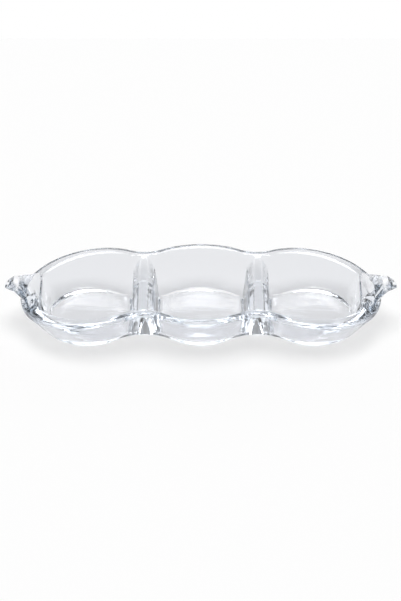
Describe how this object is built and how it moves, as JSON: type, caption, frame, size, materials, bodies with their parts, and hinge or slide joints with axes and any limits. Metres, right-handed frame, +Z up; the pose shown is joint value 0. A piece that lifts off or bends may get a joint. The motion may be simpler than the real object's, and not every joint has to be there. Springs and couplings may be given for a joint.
{
  "type": "divided bowl",
  "caption": "Long clear pressed-glass serving dish of round lobes in a row, with a compartment in each lobe, solid ridges between them and a faceted stem at each end.",
  "frame": {"origin": "centre of the flat base, on the surface that the dish stands on", "axes": "+X along the row of compartments to the right-hand stem, +Y to the back, +Z up"},
  "size_m": [0.3592, 0.1426, 0.0408],
  "materials": {
    "clear_glass": "gloss"
  },
  "bodies": {
    "root": {"left_handle": "clear_glass", "left_compartment": "clear_glass", "left_divider": "clear_glass", "middle_compartment": "clear_glass", "right_divider": "clear_glass", "right_compartment": "clear_glass", "right_handle": "clear_glass"}
  },
  "joints": []
}
